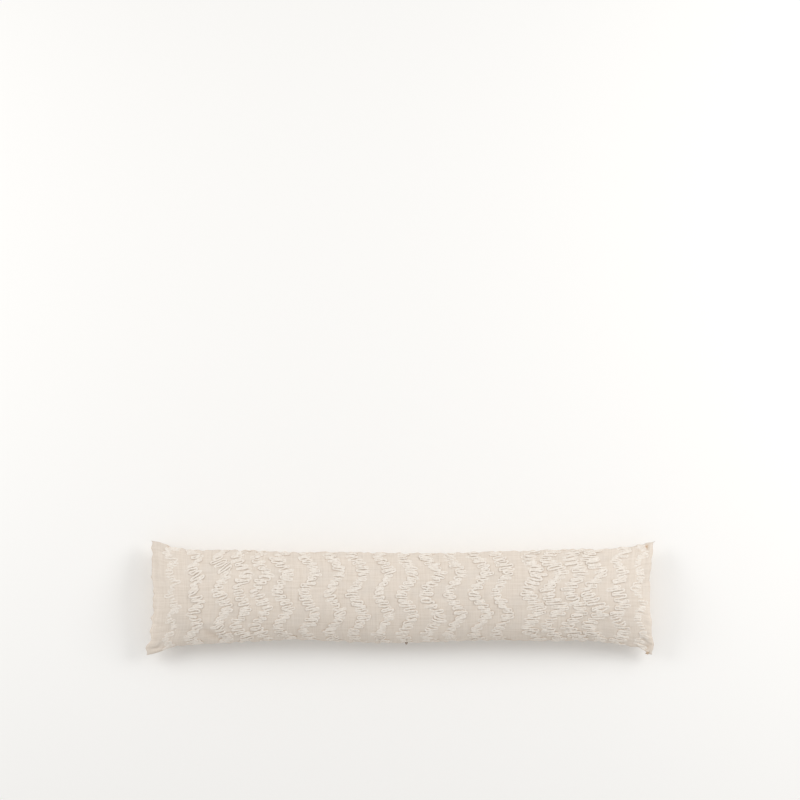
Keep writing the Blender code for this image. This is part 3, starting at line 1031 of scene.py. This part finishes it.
class DRAUGHT_OT_closing_thread(Operator):
    """Knot the thread that closes the bottom seam, where the filling went in"""

    bl_idname = "draught.closing_thread"
    bl_label = "Closing Thread"

    def execute(self, context):
        s, t = context.scene.draught_cushion, context.scene.draught_thread
        grid = face_grid(s, bpy.data.objects["cushion_cover"])
        seam, _ = on_face(s, grid, np.array([t.place]), np.array([-s.width / 2]))
        knot = overhand_knot(t, seam[0] - np.array([0.0, t.knot / 8, 0.0]))
        knot.data.materials.append(waxed_thread(t))
        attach(knot, "root")
        return {"FINISHED"}


class DRAUGHT_OT_stage(Operator):
    """Make the floor, the soft light and the camera that looks at the face"""

    bl_idname = "draught.stage"
    bl_label = "Stage"

    def execute(self, context):
        g = context.scene.draught_stage
        bpy.ops.mesh.primitive_plane_add(size=FLOOR_SIZE, location=(0.0, 0.0, -FLOOR_DROP))
        floor = context.object
        floor.name = "floor"
        material, _, shader = new_material("pale_floor")
        set_inputs(shader, {"Base Color": (*g.floor, 1.0), "Roughness": 0.9, "Specular IOR Level": 0.1})
        floor.data.materials.append(material)

        world = bpy.data.worlds.new("studio")
        world.use_nodes = True
        daylight = {"Color": (1.0, 0.995, 0.985, 1.0), "Strength": g.daylight}
        set_inputs(world.node_tree.nodes["Background"], daylight)
        context.scene.world = world
        add_softbox("left", Vector((-LAMP_ASIDE, LAMP_ABOVE, LAMP_HEIGHT)), LAMP_SIZE, g.left)
        add_softbox("right", Vector((LAMP_ASIDE, LAMP_ABOVE, LAMP_HEIGHT)), LAMP_SIZE, g.right)

        bpy.ops.object.camera_add()
        camera = context.object
        camera.data.lens = g.lens
        camera.data.clip_end = 100.0
        distance = g.picture * g.lens / camera.data.sensor_width
        camera.location = (0.0, g.above_middle, distance + context.scene.draught_cushion.seam_height)
        camera.data.dof.use_dof = False
        context.scene.camera = camera
        context.scene.view_settings.view_transform = "Standard"
        context.scene.view_settings.look = "None"
        return {"FINISHED"}


class DRAUGHT_PT_panel(Panel):
    """Lists the pieces of the draught excluder"""

    bl_label = "Draught Excluder"
    bl_idname = "DRAUGHT_PT_panel"
    bl_space_type = "VIEW_3D"
    bl_region_type = "UI"
    bl_category = "Draught Excluder"

    def draw(self, context):
        for operator in OPERATORS:
            self.layout.operator(operator.bl_idname)
        for name in SETTINGS:
            box = self.layout.box()
            settings = getattr(context.scene, name)
            for setting in settings.bl_rna.properties.keys():
                if setting not in ("name", "rna_type"):
                    box.prop(settings, setting)


SETTINGS = {
    "draught_cushion": CushionSettings,
    "draught_yarn": YarnSettings,
    "draught_thread": ThreadSettings,
    "draught_stage": StageSettings,
}
OPERATORS = (DRAUGHT_OT_cushion, DRAUGHT_OT_yarn_bands, DRAUGHT_OT_closing_thread, DRAUGHT_OT_stage)
CLASSES = (*SETTINGS.values(), *OPERATORS, DRAUGHT_PT_panel)


def register():
    for made in CLASSES:
        bpy.utils.register_class(made)
    for name, kind in SETTINGS.items():
        setattr(bpy.types.Scene, name, PointerProperty(type=kind))


def unregister():
    for name in SETTINGS:
        delattr(bpy.types.Scene, name)
    for made in reversed(CLASSES):
        bpy.utils.unregister_class(made)


def main():
    register()
    bpy.ops.draught.cushion()
    bpy.ops.draught.yarn_bands()
    bpy.ops.draught.closing_thread()
    bpy.ops.draught.stage()


if __name__ == "__main__":
    main()
